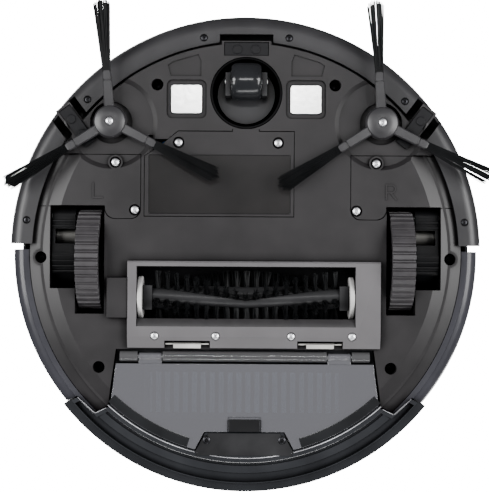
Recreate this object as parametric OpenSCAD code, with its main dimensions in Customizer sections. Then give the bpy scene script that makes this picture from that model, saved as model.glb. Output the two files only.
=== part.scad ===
/* [Body] */
// Radius of the round body at its rear flanks
body_r = 161.5; // [161:0.5:162]
// Height of the top face above the floor
body_h = 79; // [78:0.5:80]
// Height of the chassis underside above the floor
floor_z = 15; // [14.8:0.1:15.2]
// Thickness of the chassis floor
floor_t = 5.7; // [5.5:0.1:6]
// Height of the parting line under the top cover
split_z = 66; // [65:0.5:66]

/* [Bumper] */
// Outer radius of the bumper
bumper_r = 163.2; // [163:0.1:163.4]
// How far the bumper moves when pressed
bumper_travel = 3; // [2:0.5:3]

/* [Wheels] */
// Diameter of a drive wheel over its ribs
wheel_d = 70; // [69:0.5:70]
// Width of a drive tyre
tyre_w = 15.8; // [15:0.1:16]
// Distance of a tyre's middle from the centre line
wheel_x = 107.7; // [107.5:0.1:107.9]
// Number of ribs round a tyre
tyre_ribs = 38; // [30:1:42]
// Radius of the caster wheel
caster_r = 13; // [12.5:0.5:13]

/* [Brushes] */
// Distance of a side brush from the centre line
side_brush_x = 92.9; // [92:0.1:94]
// Reach of a bristle bundle's stiff length from the brush axis
side_brush_reach = 66.5; // [60:0.5:67]
// Radius of the main brush over its bristles
brush_r = 19.5; // [18:0.5:20]

/* [Dustbin] */
// Thickness of the dustbin's walls
bin_t = 2; // [1.6:0.1:2.4]
// Radius of the dustbin door's rear edge
door_r = 138.6; // [138:0.1:139]

/* [Hidden] */
$fn = 96;
wheel_y = 4;
wheel_z = wheel_d / 2;
caster_y = -110.9;
caster_axle_y = -118.3;
side_brush_y = -90.3;
brush_y = 30;
brush_z = 24;
wall_r = 141.5;
lip_r = 145;
lip_t = 2.6;
band_in = 131;
band_out = 149.2;
band_z = 22.5;
band_y = -69;
plate_t = 3;
gap = 0.5;
dish_r = 32;
dish_depth = 2;
pivot_y = -26;
pivot_z = 28;
arm_lo = -133.8;
arm_hi = -117.4;
running = 0.05;
pin_r = 2.5;
hinge_y = 70.5;
hinge_z = 17.4;
bin_shift = 3.5;
bin_top = 65.2;
gear_module = 0.8;
brush_teeth = 28;
pinion_teeth = 17;
idler_z = brush_z + gear_module * brush_teeth;
pinion_z = idler_z + gear_module * (brush_teeth + pinion_teeth) / 2;
gear_x = -90.5;
gear_w = 6;
arm_angles = [-4, 117, 238];
vent_angle = 28;
screw_wells = [[141.1, 2.7], [100.3, 77.9], [61.1, -116.4]];
cover_screw_places = [[89.7, -62.9], [76.2, -30.2]];
battery_screw_places = [-46.3, 22.2];
battery_screw_y = -76.7;
bumper_screws = [[29.4, -149.3], [109.4, -106.2], [151, -22.9]];
cliff_places = [[0, -141.2, 0], [116, -87.5, -53], [-116, -87.5, 53]];

// ---- shapes shared by several pieces ----

// A block from its lowest corner to its highest corner
module block(lo, hi) translate(lo) cube(hi - lo);

// An upright round bar
module post(x, y, z0, z1, r) translate([x, y, z0]) cylinder(h = z1 - z0, r = r);

// A round bar along X
module bar_x(x0, x1, y, z, r) translate([x0, y, z]) rotate([0, 90, 0]) cylinder(h = x1 - x0, r = r);

// A round bar along Y
module bar_y(y0, y1, x, z, r) translate([x, y1, z]) rotate([90, 0, 0]) cylinder(h = y1 - y0, r = r);

// A rectangle with round corners, from its lowest corner to its highest
module round_plan(lo, hi, r) {
  translate([lo[0] + r, lo[1]]) square([hi[0] - lo[0] - 2 * r, hi[1] - lo[1]]);
  translate([lo[0], lo[1] + r]) square([hi[0] - lo[0], hi[1] - lo[1] - 2 * r]);
  for (x = [lo[0] + r, hi[0] - r], y = [lo[1] + r, hi[1] - r]) translate([x, y]) circle(r = r, $fn = 48);
}

// The same plate with a height
module round_block(lo, hi, r) translate([0, 0, lo[2]]) linear_extrude(hi[2] - lo[2]) round_plan(lo, hi, r);

// A shape and its mirror image across the centre line
module both_sides() {
  children();
  mirror([1, 0, 0]) children();
}

// Points of an arc, for profiles
function arc(c, r, a0, a1, n) = [for (i = [0:n]) let(a = a0 + (a1 - a0) * i / n) c + r * [cos(a), sin(a)]];

// Outline of an involute gear with a tooth on +X
function involute(base, t) = base * [cos(t) + t * PI / 180 * sin(t), sin(t) - t * PI / 180 * cos(t)];
function turned(p, a) = [p[0] * cos(a) - p[1] * sin(a), p[0] * sin(a) + p[1] * cos(a)];
function roll_at(base, r) = r <= base ? 0 : sqrt(r * r / (base * base) - 1) * 180 / PI;
function gear_points(teeth, slack = 0.12) =
  let(
    rp = gear_module * teeth / 2,
    rb = rp * cos(20),
    ra = rp + gear_module * 0.95,
    rr = rp - gear_module * 1.2,
    tp = roll_at(rb, rp),
    lead = 90 / teeth - slack / rp * 90 / PI + (tp - atan(tp * PI / 180)),
    t0 = roll_at(rb, max(rb, rr)),
    t1 = roll_at(rb, ra)
  )
  [for (k = [0:teeth - 1]) let(a = 360 * k / teeth) each concat(
    [turned([rr, 0], a - lead - 0.6)],
    [for (i = [0:3]) turned(involute(rb, t0 + (t1 - t0) * i / 3), a - lead)],
    [for (i = [3:-1:0]) let(p = involute(rb, t0 + (t1 - t0) * i / 3)) turned([p[0], -p[1]], a + lead)],
    [turned([rr, 0], a + lead + 0.6)]
  )];

// A spur gear on an axis along X
module gear_x_axis(x0, z, teeth, phase, bore) {
  translate([x0, brush_y, z]) rotate([0, 90, 0]) rotate([0, 0, phase]) difference() {
    linear_extrude(gear_w) polygon(gear_points(teeth));
    if (bore > 0) translate([0, 0, -1]) cylinder(h = gear_w + 2, r = bore);
  }
}

// A coil spring along Z, swept as one closed tube
module coil(x, y, z0, z1, r, wire, turns) {
  n = 6;
  rings = turns * 12;
  pts = [for (i = [0:rings], k = [0:n - 1])
    let(a = 360 * turns * i / rings, b = 360 * k / n, d = r + wire * cos(b))
    [x + d * cos(a), y + d * sin(a), z0 + wire + (z1 - z0 - 2 * wire) * i / rings + wire * sin(b)]];
  sides = [for (i = [0:rings - 1], k = [0:n - 1])
    [i * n + k, i * n + (k + 1) % n, (i + 1) * n + (k + 1) % n, (i + 1) * n + k]];
  polyhedron(pts, concat([[for (k = [n - 1:-1:0]) k]], sides, [[for (k = [0:n - 1]) rings * n + k]]));
}

// A pan head screw with its head down
module screw(x, y, z, head_r, length) {
  post(x, y, z, z + 1.6, head_r);
  post(x, y, z + 1.5, z + length, 1.4);
}

// ---- outlines in plan ----

// The bin bay and the dustbin share this outline
module bin_plan(grow) intersection() {
  translate([0, bin_shift]) circle(r = body_r + grow * 4);
  polygon([
    [-88 - grow, 66 - grow], [88 + grow, 66 - grow], [93.5 + grow, 105.5 - grow], [103.4 + grow, 110.5 - grow],
    [115.3 + grow, 99.3 - grow], [160 + grow, 122.7 - grow], [160, 220], [-160, 220],
    [-160 - grow, 122.7 - grow], [-115.3 - grow, 99.3 - grow], [-103.4 - grow, 110.5 - grow],
    [-93.5 - grow, 105.5 - grow]
  ]);
}

// The wheel cover on the left; the right one is its mirror image
module wheel_cover_plan(grow) {
  translate([-160, -68.1 - grow]) square([87.6 + grow, 35.2 + 2 * grow]);
  round_plan([-96.6 - grow, -60], [-72.4 + grow, -24.4 + grow], 7);
}

module battery_plan(grow) polygon([
  [-69.5 - grow, -26.1 + grow], [-69.5 - grow, -67.4], [-63, -71.6 - grow], [-57, -76 - grow],
  [-46.6, -84.4 - grow], [-9 - grow, -84.4 - grow], [-9 - grow, -86.2], [8.8 + grow, -86.2],
  [8.8 + grow, -84.4 - grow], [32.9 + grow, -84.4 - grow], [32.9 + grow, -26.1 + grow]
]);

// ---- chassis ----

// Section of the chassis floor and its sloped side band, t thick
function tub_section(t) = [
  [0, floor_z], [band_in, floor_z], [band_out, band_z], [band_out, band_z + t],
  [band_in - 1, floor_z + t], [0, floor_z + t]
];

module tub() {
  intersection() {
    rotate_extrude() polygon(tub_section(floor_t));
    block([-200, band_y, 0], [200, 200, 60]);
  }
  intersection() {
    union() {
      post(0, 0, floor_z, floor_z + floor_t, wall_r - 0.5);
      post(0, 0, floor_z, floor_z + lip_t, lip_r);
    }
    block([-200, -200, 0], [200, band_y + 0.1, 60]);
  }
  for (c = cliff_places) translate([c[0], c[1], 0]) rotate([0, 0, c[2]])
    block([-17, -5.5, floor_z], [17, 6, floor_z + lip_t]);
  difference() {
    post(0, 0, floor_z + lip_t + 1, 62, wall_r);
    post(0, 0, 0, 70, wall_r - 2);
  }
}

module wheel_well(grow) {
  block([-134.6 - grow, -33.2 - grow, 10], [-96.9 + grow, 24 + grow, 72 + grow]);
  block([-117 - grow, 20, 10], [-96.9 + grow, 41.4 + grow, 72 + grow]);
}

module brush_tunnel(r, x0, x1) {
  bar_x(x0, x1, brush_y, brush_z, r);
  block([x0, brush_y - r, floor_z - 2], [x1, brush_y + r, brush_z]);
}

// Everything up to the upper face of the chassis floor, which the modules stand on
module below_floor() rotate_extrude() polygon([
  [0, 5], [band_out + 5, 5], [band_out + 5, band_z + floor_t], [band_out, band_z + floor_t],
  [band_in - 1, floor_z + floor_t], [0, floor_z + floor_t]
]);

// A shallow dish with a sloped rim round each side brush
module brush_dish(x) {
  translate([x, side_brush_y, floor_z - 0.01]) cylinder(h = dish_depth + 0.01, r1 = dish_r, r2 = dish_r - 3);
}

module chassis() color("#444346") difference() {
  union() {
    tub();
    intersection() {
      both_sides() post(side_brush_x, side_brush_y, floor_z + 3, floor_z + 8.5, 20);
      post(0, 0, 0, 80, wall_r);
    }
    post(0, caster_y, floor_z + 2, 38, 27);
    // Walls round the battery, closed by the board's tray
    block([-70, -85, floor_z + 3], [34, -25, 52]);
    // Bosses for the long screws
    both_sides() for (s = screw_wells) post(s[0], s[1], floor_z + 4, 33.4, 5.5);
  }
  both_sides() wheel_well(0);
  brush_tunnel(23, -77, 78);
  translate([0, 0, 5]) linear_extrude(80) bin_plan(0.6);
  block([-67, -82, floor_z + 1], [31, -28, 60]);
  post(0, caster_y, 0, 36.4, 24.9);
  post(0, caster_y, 30, 60, 8);
  // Recesses that the covers sit in
  both_sides() intersection() {
    difference() {
      rotate_extrude() polygon(tub_section(plate_t + 0.2));
      post(0, 0, 0, 60, 20);
    }
    translate([0, 0, 5]) linear_extrude(40) wheel_cover_plan(gap);
  }
  translate([0, 0, 5]) linear_extrude(floor_z + plate_t + 0.2 - 5) battery_plan(gap);
  block([-64, -79, 5], [28, -31, 40]);
  both_sides() {
    brush_dish(side_brush_x);
    post(side_brush_x, side_brush_y, 5, floor_z + 5.2, 14.6);
    post(side_brush_x, side_brush_y, 0, 60, 3.6);
  }
  // Screw wells
  both_sides() for (s = screw_wells) {
    post(s[0], s[1], 0, 30, 4.1);
    post(s[0], s[1], 29, 40, 1.7);
    post(s[0], s[1], 33.2, 80, 4.2);
  }
  // Screw holes under the covers
  both_sides() for (s = cover_screw_places) post(s[0], s[1], 10, 40, 1.5);
  for (x = battery_screw_places) post(x, battery_screw_y, 10, 25, 1.5);
  // Charging contact frames and their stems
  both_sides() {
    round_block([27.3, -119.9, 5], [54.7, -93.3, floor_z + 1.2], 4);
    round_block([30.2, -116.7, 5], [51.8, -96.5, floor_z + 2.4], 2.2);
    post(41, -106.6, 5, 60, 2.3);
  }
  // Shallow ramps in front of the contacts
  both_sides() translate([0, 0, 5]) linear_extrude(floor_z + 0.7 - 5)
    polygon([[31, -122.5], [52, -122.5], [54, -130], [50, -132.5], [33, -137.5], [31, -133]]);
  // Windows of the cliff sensors
  for (c = cliff_places) translate([c[0], c[1], 0]) rotate([0, 0, c[2]])
    block([-15.4, -4.8, 5], [15.4, 4.6, floor_z + 1.6]);
  both_sides() bar_x(-142, -130, pivot_y, pivot_z, pin_r);
  // Cut-out that the brush gearbox stands in
  block([-94.9, brush_y - 13.9, 5], [-80.3, brush_y + 13.9, 80]);
  // Slots for the bumper switches' levers
  both_sides() block([36, -146, 29], [42, -130, 33]);
  // Latch pockets of the guard
  for (x = [-39.5, 51.5]) block([x - 12, 59, 5], [x + 12, 62.4, floor_z + 1.2]);
}

// Housing over a drive wheel, with the boss of its arm's pivot
module well_raw() difference() {
  intersection() {
    union() {
      wheel_well(1.6);
      block([-140.5, pivot_y - 6, 22], [-134, pivot_y + 6, 34]);
    }
    post(0, 0, 10, 80, wall_r - 2);
  }
  wheel_well(0);
  below_floor();
  post(-screw_wells[0][0], screw_wells[0][1], 0, 33.4, 5.5);
  bar_x(-142, -130, pivot_y, pivot_z, pin_r);
}

module wheel_wells() color("#2a2a2c") both_sides() well_raw();

// Half-round housing over the main brush, with the duct back to the dustbin
module brush_chamber() color("#1c1c1e") difference() {
  union() {
    bar_x(-79, 80, brush_y, brush_z, 25);
    block([-72, 50, 22], [72, 63.1, 46]);
  }
  brush_tunnel(23, -77, 78);
  block([-70, 45, 24], [70, 70, 44]);
  block([-100, -10, -2], [100, 70, floor_z + floor_t]);
  bar_x(-82, -70, brush_y, brush_z, 5);
  bar_x(70, 82, brush_y, brush_z, 2.6 + running);
}

// Deck and side walls of the room that the dustbin slides into
module bin_bay() color("#2a2a2c") difference() {
  intersection() {
    translate([0, 0, floor_z]) linear_extrude(bin_top + 2.8 - floor_z) bin_plan(2.6);
    post(0, 0, 0, 80, wall_r - 2.1);
    block([-200, 63.2, 0], [200, 200, 80]);
  }
  translate([0, 0, 5]) linear_extrude(bin_top + 0.6 - 5) bin_plan(0.6);
  below_floor();
  block([-70, 45, 24], [70, 70, 44]);
}

module cover_section() difference() {
  rotate_extrude() polygon(tub_section(plate_t));
  post(0, 0, 0, 60, 20);
}

module wheel_cover_raw() difference() {
  intersection() {
    cover_section();
    translate([0, 0, 5]) linear_extrude(40) wheel_cover_plan(0);
  }
  wheel_well(0);
  difference() {
    brush_dish(-side_brush_x);
    post(-cover_screw_places[0][0], cover_screw_places[0][1], 5, 30, 5);
  }
  for (s = cover_screw_places) {
    post(-s[0], s[1], 5, floor_z + 1.9, 3.9);
    post(-s[0], s[1], 5, 30, 1.7);
  }
}

// The moulded letter says which side the wheel is on
module wheel_covers() color("#444346") {
  both_sides() wheel_cover_raw();
  block([-105.4, -48.8, floor_z - 0.4], [-104.2, -38, floor_z + 0.1]);
  block([-105.4, -39.2, floor_z - 0.4], [-98, -38, floor_z + 0.1]);
  block([96, -48.8, floor_z - 0.4], [97.2, -38, floor_z + 0.1]);
  translate([97.1, -45.6, floor_z - 0.4]) intersection() {
    difference() {
      union() {
        cylinder(h = 0.5, r = 3.2);
        translate([0, -3.2, 0]) cube([3, 6.4, 0.5]);
        translate([3, 0, 0]) cylinder(h = 0.5, r = 3.2);
      }
      translate([3, 0, -1]) cylinder(h = 2, r = 2.1);
      translate([-4, -2.1, -1]) cube([7, 4.2, 2]);
    }
    translate([0, -4, 0]) cube([8, 8, 1]);
  }
  translate([0, 0, floor_z - 0.4]) linear_extrude(0.5)
    polygon([[99, -42.5], [100.6, -42.5], [104.4, -38], [102.8, -38]]);
}

module battery_cover() color("#444346") difference() {
  translate([0, 0, floor_z]) linear_extrude(plate_t) battery_plan(0);
  round_block([-67, -68.3, 5], [31, -27.6, floor_z + 0.5], 1.5);
  for (x = battery_screw_places) {
    post(x, battery_screw_y, 5, floor_z + 1.9, 3.9);
    post(x, battery_screw_y, 5, 30, 1.7);
  }
}

module battery_pack() color("#2b6fa8") {
  for (x = [-51, -30.5, -10, 10.5]) bar_y(-78, -31.5, x + 2, 31, 9.9);
  block([-56, -76, 27], [20, -34, 34]);
}

module main_board() color("#1f6b3a") {
  block([-62, -84, 52], [42, -8, 53.6]);
  block([-34, -60, 53.5], [-16, -42, 55.6]);
  block([4, -44, 53.5], [14, -34, 55.4]);
  block([-52, -30, 53.5], [-40, -22, 62]);
  for (x = [20, 28, 36]) post(x, -70, 53.5, 61, 3);
}

module caster_cup() color("#161617") difference() {
  union() {
    post(0, caster_y, floor_z, 36, 24.5);
    post(0, caster_y, 35.5, 50, 7.5);
  }
  post(0, caster_y, floor_z - 1, 33.5, 23);
  post(0, caster_y, 30, 47, 4 + running);
}

module charge_contacts() color("#f4f4f2") both_sides() {
  round_block([30.5, -116.4, floor_z + 0.2], [51.5, -96.8, floor_z + 2.2], 2);
  post(41, -106.6, floor_z + 2.1, 26, 2);
}

module cliff_sensors() color("#1a1a1c") for (c = cliff_places)
  translate([c[0], c[1], 0]) rotate([0, 0, c[2]]) {
    block([-15, -4.5, floor_z + 0.3], [15, 4.3, floor_z + 1.5]);
    for (x = [-6.2, 6.2]) post(x, 0.3, floor_z - 0.3, floor_z + 0.4, 2.9);
  }

// One motor over each side brush, and one lying above the main brush
module brush_motors() color("#8d9095") {
  both_sides() difference() {
    union() {
      post(side_brush_x, side_brush_y, floor_z + 8.7, 44, 9.6);
      post(side_brush_x, side_brush_y, 43.9, 58, 7);
    }
    post(side_brush_x, side_brush_y, 0, 40, pin_r + running);
  }
  bar_x(-80, -34, brush_y, pinion_z, 9.8);
  bar_x(-34.1, -31, brush_y, pinion_z, 4);
}

module brush_gearbox() color("#353437") difference() {
  block([-94.6, brush_y - 13.6, floor_z - 4.5], [-80.6, brush_y + 13.6, 74]);
  difference() {
    block([-93.4, brush_y - 12.5, floor_z - 3.4], [-82, brush_y + 12.5, 72.8]);
    bar_x(-93.5, -91.2, brush_y, idler_z, 4);
  }
  bar_x(-84, -78, brush_y, brush_z, 5);
  bar_x(-84, -78, brush_y, pinion_z, 3);
  bar_x(-92.8, -80, brush_y, idler_z, 1.5);
}

module fan_housing() color("#2c2d30") difference() {
  union() {
    post(25, 30, 50, 72.6, 30);
    block([25, 0, 54], [70, 20, 70]);
  }
  post(25, 30, 51.5, 71.2, 28.4);
  post(25, 30, 40, 52, 12);
  post(25, 30, 70, 80, 3);
  block([25, 1.5, 55.5], [72, 18.5, 68.5]);
}

module fan_motor() color("#a7a9ac") difference() {
  post(25, 30, 62, 71, 11);
  post(25, 30, 50, 70, 1.5 + running);
}

module bumper_switches() color("#202022") both_sides() {
  block([32, -130, floor_z + floor_t], [46, -124, 40]);
  block([37, -154, 30], [41, -129.9, 32]);
}

module side_panel_section() polygon(concat(
  [[band_out + 0.5, band_z], [band_out + 4, band_z - 0.6]],
  arc([body_r - 9, band_z + 9], 9, -80, 0, 6),
  [[body_r, split_z - 0.3], [wall_r + 0.3, split_z - 0.3], [wall_r + 0.3, split_z - 2.3],
   [body_r - 2, split_z - 2.3]],
  arc([body_r - 9, band_z + 9], 7, 0, -80, 6),
  [[band_out + 0.5, band_z + 2]]
));

module side_panel_raw() difference() {
  intersection() {
    rotate_extrude() side_panel_section();
    block([-200, -2.6, 0], [0, 200, 100]);
  }
  translate([0, 0, 5]) linear_extrude(80) bin_plan(0.7);
  both_sides() post(screw_wells[0][0], screw_wells[0][1], 50, 80, 4.2);
  rotate([0, 0, -vent_angle]) block([-165, -20, 36], [-150, 20, 54]);
}

// The right panel has a window for the power switch
module side_panels() color("#4a4a4e") difference() {
  both_sides() side_panel_raw();
  rotate([0, 0, 8]) block([150, -8.3, 44.4], [170, 8.3, 55.6]);
}

// Upright fins behind the slots at the rear flanks
module vent_grilles() color("#232326") both_sides() rotate([0, 0, -vent_angle]) {
  block([-157.4, -21.5, 34.6], [-156, 21.5, 36.6]);
  block([-157.4, -21.5, 53.4], [-156, 21.5, 55.4]);
  for (y = [-20:4:20]) block([-157.2, y - 0.7, 35], [-153.4, y + 0.7, 55]);
}

module top_cover_section() polygon(concat(
  [[0, body_h], [26, body_h]],
  [[body_r - 7.5, body_h]],
  arc([body_r - 7.5, body_h - 8], 8, 90, 0, 7),
  [[body_r + 0.5, split_z], [body_r - 1.7, split_z]],
  arc([body_r - 7.5, body_h - 8], 5.8, 0, 90, 7),
  [[0, body_h - 2.2]]
));

module top_cover() color("#3b3b3e") difference() {
  union() {
    rotate_extrude() top_cover_section();
    both_sides() for (s = screw_wells) post(s[0], s[1], 33.8, body_h - 1, 3.5);
    post(0, 0, body_h - 5.5, body_h - 1, 22);
  }
  both_sides() for (s = screw_wells) post(s[0], s[1], 30, 50, 1.45);
  post(0, 0, 60, 90, 18.3);
  rotate_extrude() translate([128, body_h - 0.6]) square([1.2, 2]);
}

module button_ring() color("#dfe7ef") difference() {
  post(0, 0, body_h - 4, body_h + 0.2, 18);
  post(0, 0, 60, 90, 15.3);
}

module clean_button() color("#2c2d30") {
  post(0, 0, body_h - 3.2, body_h + 0.6, 15);
  post(0, 0, body_h - 9, body_h - 3.1, 4);
}

module power_switch() color("#131314") rotate([0, 0, 8]) {
  block([157.2, -8, 45.6], [160.4, 8, 54.4]);
  bar_y(-4, 4, 156.6, 50, 1.5);
}

module cover_screws() color("#c9cbce") {
  both_sides() for (s = cover_screw_places) screw(s[0], s[1], floor_z + 0.2, 2.75, 6);
  for (x = battery_screw_places) screw(x, battery_screw_y, floor_z + 0.2, 2.75, 6);
}

module chassis_screws() color("#1c1c1e") both_sides() for (s = screw_wells) screw(s[0], s[1], 28.2, 3, 18);

module arm_pivots() color("#c9cbce") both_sides() bar_x(-140, arm_hi, pivot_y, pivot_z, pin_r);

module bumper_section() polygon(concat(
  [[140, floor_z + 3.1], [bumper_r - 9, floor_z + 3.1]],
  arc([bumper_r - 9, floor_z + 12.1], 9, -80, 0, 7),
  arc([bumper_r - 4, split_z - 4.4], 4, 0, 90, 4),
  [[150, split_z - 0.4], [150, split_z - 2.2]],
  arc([bumper_r - 4, split_z - 4.2], 2, 90, 0, 4),
  arc([bumper_r - 9, floor_z + 12.1], 7, 0, -80, 7),
  [[140, floor_z + 4.9]]
));

module bumper() color("#3d3c3f") difference() {
  intersection() {
    translate([0, -1.8, 0]) rotate_extrude() bumper_section();
    block([-200, -200, 0], [200, -3.6 - bumper_travel, 100]);
  }
  post(0, 0, 0, 40, 147.2);
  // Notches round the cliff sensors
  for (c = cliff_places) translate([c[0], c[1], 0]) rotate([0, 0, c[2]])
    block([-18.5, -10.6, 10], [18.5, 12, 26]);
  both_sides() for (s = bumper_screws) {
    post(s[0], s[1], 10, floor_z + 4, 2.7);
    post(s[0], s[1], 10, 26, 1.2);
  }
  translate([0, -1.8, 0]) intersection() {
    difference() {
      post(0, 0, 40, 56, bumper_r + 1);
      post(0, 0, 30, 70, bumper_r - 1.2);
    }
    block([-95, -200, 0], [95, 0, 100]);
  }
}

module bumper_window() color("#0d0d10") translate([0, -1.8, 0]) intersection() {
  difference() {
    post(0, 0, 40.2, 55.8, bumper_r);
    post(0, 0, 30, 70, bumper_r - 1.1);
  }
  block([-94.8, -200, 0], [94.8, 0, 100]);
}

// ---- wheels: the left side is drawn, the right side is its mirror image ----

module gearbox_raw() difference() {
  union() {
    bar_x(arm_lo, arm_hi, pivot_y, pivot_z, 6.6);
    bar_x(arm_lo, arm_hi, 3, 37, 18.5);
    translate([arm_lo, 0, 0]) rotate([90, 0, 90]) linear_extrude(arm_hi - arm_lo)
      polygon([[-31, 31], [-26, 21.6], [-14, 20], [0, 19], [12, 21], [20, 30], [17, 48], [9, 57], [-24, 58]]);
  }
  bar_x(arm_lo - 1, arm_hi + 1, pivot_y, pivot_z, pin_r + running);
  bar_x(arm_lo + 2.5, arm_hi + 1, -12, 38, 11);
  block([arm_lo + 2.5, -17, 0], [arm_hi + 1, -7, 38]);
  bar_x(arm_lo - 1, arm_hi + 1, wheel_y, wheel_z, 3 + running);
}

module motor_raw() {
  bar_x(arm_lo + 2.6, arm_hi - 1, -12, 38, 10.8);
}

module tyre_raw() translate([-wheel_x - tyre_w / 2, wheel_y, wheel_z]) rotate([90, 0, 90]) difference() {
  linear_extrude(tyre_w) polygon([for (i = [0:tyre_ribs - 1]) each
    let(a = 360 * i / tyre_ribs, p = 360 / tyre_ribs, r = wheel_d / 2)
    [r * [cos(a - p * 0.28), sin(a - p * 0.28)], r * [cos(a + p * 0.28), sin(a + p * 0.28)],
     (r - 2) * [cos(a + p * 0.4), sin(a + p * 0.4)], (r - 2) * [cos(a + p * 0.6), sin(a + p * 0.6)]]]);
  translate([0, 0, -1]) cylinder(h = tyre_w + 2, r = 29);
}

module hub_raw() difference() {
  union() {
    bar_x(-wheel_x - tyre_w / 2 + 1, -wheel_x + tyre_w / 2 - 1, wheel_y, wheel_z, 29);
    bar_x(arm_lo + 1, -wheel_x + tyre_w / 2 - 0.2, wheel_y, wheel_z, 3);
  }
  difference() {
    bar_x(-wheel_x + 3, -wheel_x + tyre_w, wheel_y, wheel_z, 26);
    bar_x(-wheel_x, -wheel_x + tyre_w, wheel_y, wheel_z, 8);
  }
}

module wheel_gearbox_left() color("#151516") gearbox_raw();
module wheel_motor_left() color("#b9b2a2") motor_raw();
module tyre_left() color("#6a676b") tyre_raw();
module wheel_hub_left() color("#19191b") hub_raw();
module wheel_gearbox_right() color("#151516") mirror([1, 0, 0]) gearbox_raw();
module wheel_motor_right() color("#b9b2a2") mirror([1, 0, 0]) motor_raw();
module tyre_right() color("#6a676b") mirror([1, 0, 0]) tyre_raw();
module wheel_hub_right() color("#19191b") mirror([1, 0, 0]) hub_raw();

module suspension_springs() color("#b9bbbe") both_sides() coil(-125.6, -8, 58.4, 71.8, 4, 0.6, 5);

// ---- caster ----

module caster_fork() color("#4c4b4f") difference() {
  union() {
    post(0, caster_y, 28.6, 32.6, 20);
    post(0, caster_y, 32.5, 46, 4);
    both_sides() block([10.7, caster_axle_y - 6, 9.5], [14.2, caster_axle_y + 10, 29]);
  }
  bar_x(-20, 20, caster_axle_y, caster_r, 1.5);
}

module caster_axle() color("#d5d7da") bar_x(-14.6, 14.6, caster_axle_y, caster_r, 1.5);

module caster_wheel() color("#3a3b3e") translate([0, caster_axle_y, caster_r]) rotate([0, 90, 0]) difference() {
  rotate_extrude() polygon(concat([[0, -10.2], [caster_r - 2, -10.2]],
    [[caster_r - 0.5, -8], [caster_r, -4], [caster_r, 4], [caster_r - 0.5, 8]],
    [[caster_r - 2, 10.2], [0, 10.2]]));
  translate([0, 0, -12]) cylinder(h = 24, r = 1.5 + running);
}

// ---- side brushes: one drawing, placed on both sides ----

module side_brush_raw(x) translate([x, side_brush_y, 0]) {
  post(0, 0, 7, 13.2, 11.4);
  post(0, 0, 5.8, 7.1, 8);
  post(0, 0, 13.1, 36, pin_r);
  for (a = arm_angles) rotate([0, 0, a]) translate([-3.2, 0, 0]) rotate([90, 0, 90]) linear_extrude(6.4)
    polygon([[-9.5, 8], [-29, 6.6], [-29, 10], [-9.5, 11.6]]);
}

module side_bristles_raw(x) translate([x, side_brush_y, 0]) for (a = arm_angles) rotate([0, 0, a])
  translate([-2.8, 0, 0]) rotate([90, 0, 90]) linear_extrude(5.6)
    polygon([[-29, 7.2], [-side_brush_reach, 1.6], [-side_brush_reach, 3.4], [-29, 9.4]]);

module side_brush_left() color("#38383b") side_brush_raw(-side_brush_x);
module side_bristles_left() color("#1d1d1f") side_bristles_raw(-side_brush_x);
module side_brush_right() color("#38383b") side_brush_raw(side_brush_x);
module side_bristles_right() color("#1d1d1f") side_bristles_raw(side_brush_x);

// ---- main brush and its drive ----

module brush_core() color("#2a2a2c") {
  bar_x(-70.6, 71.8, brush_y, brush_z, 7);
  bar_x(-92.6, -70, brush_y, brush_z, 2.6);
  bar_x(71, 79.4, brush_y, brush_z, 2.6);
}

module brush_bristles() color("#111112") difference() {
  bar_x(-62, 63, brush_y, brush_z, brush_r);
  bar_x(-70, 70, brush_y, brush_z, 7);
}

module brush_end_discs() color("#c9c9cb") difference() {
  union() {
    bar_x(-74, -70.6, brush_y, brush_z, 14.5);
    bar_x(71.8, 75.2, brush_y, brush_z, 14.5);
  }
  bar_x(-80, 80, brush_y, brush_z, 2.6);
}

module brush_gear() color("#e4e2d8") gear_x_axis(gear_x, brush_z, brush_teeth, 0, 2.6);

module idler_gear() color("#e4e2d8") {
  gear_x_axis(gear_x, idler_z, brush_teeth, 180 / brush_teeth, 0);
  bar_x(-92.6, -81, brush_y, idler_z, 1.5 - running);
}

module pinion() color("#c8a24a") {
  gear_x_axis(gear_x, pinion_z, pinion_teeth, 0, 0);
  bar_x(gear_x, -80.2, brush_y, pinion_z, 1.5);
}

module impeller() color("#3f4044") {
  post(25, 30, 53, 54.6, 26);
  post(25, 30, 54.5, 61.4, 5);
  post(25, 30, 61.3, 69, 1.5);
  for (k = [0:8]) translate([25, 30, 0]) rotate([0, 0, 40 * k]) block([4, -0.6, 54.5], [25.5, 0.6, 61]);
}

// ---- brush guard ----

module brush_guard() color("#b0adb0") difference() {
  union() {
    translate([-80.5, 0, 0]) rotate([90, 0, 90]) linear_extrude(173.1)
      polygon([[6.6, 14.7], [4.7, 12.8], [4.7, 10.6], [5.8, 9.5], [56.5, 9.5], [64.3, 12.4], [64.3, 14.7]]);
    // Round front edge that the guard swings on
    bar_x(-80.5, 92.6, 6.6, 12.8, 1.9);
  }
  block([-74.3, 8.3, 0], [75.6, 49.4, 40]);
  for (x = [-61.8, -20.1, 31.6, 73.2]) {
    post(x, 55.9, 0, 11.2, 2.9);
    post(x, 55.9, 0, 20, 1.3);
  }
  for (x = [-39.5, 51.5]) block([x - 15.6, 59.2, 0], [x + 15.6, 70, 20]);
  block([-94, brush_y - 14, 0], [-80.3, brush_y + 14, 30]);
}

module guard_latch(x) {
  block([x - 9.4, 61.4, 10.6], [x + 9.4, 64.3, 12.6]);
  block([x - 15, 60.9, 12.8], [x + 15, 62, 14.6]);
  block([x - 9.4, 61, 12.4], [x + 9.4, 63, 14]);
}
module guard_latch_left() color("#cfccc8") guard_latch(-39.5);
module guard_latch_right() color("#cfccc8") guard_latch(51.5);

// ---- dustbin ----

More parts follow.
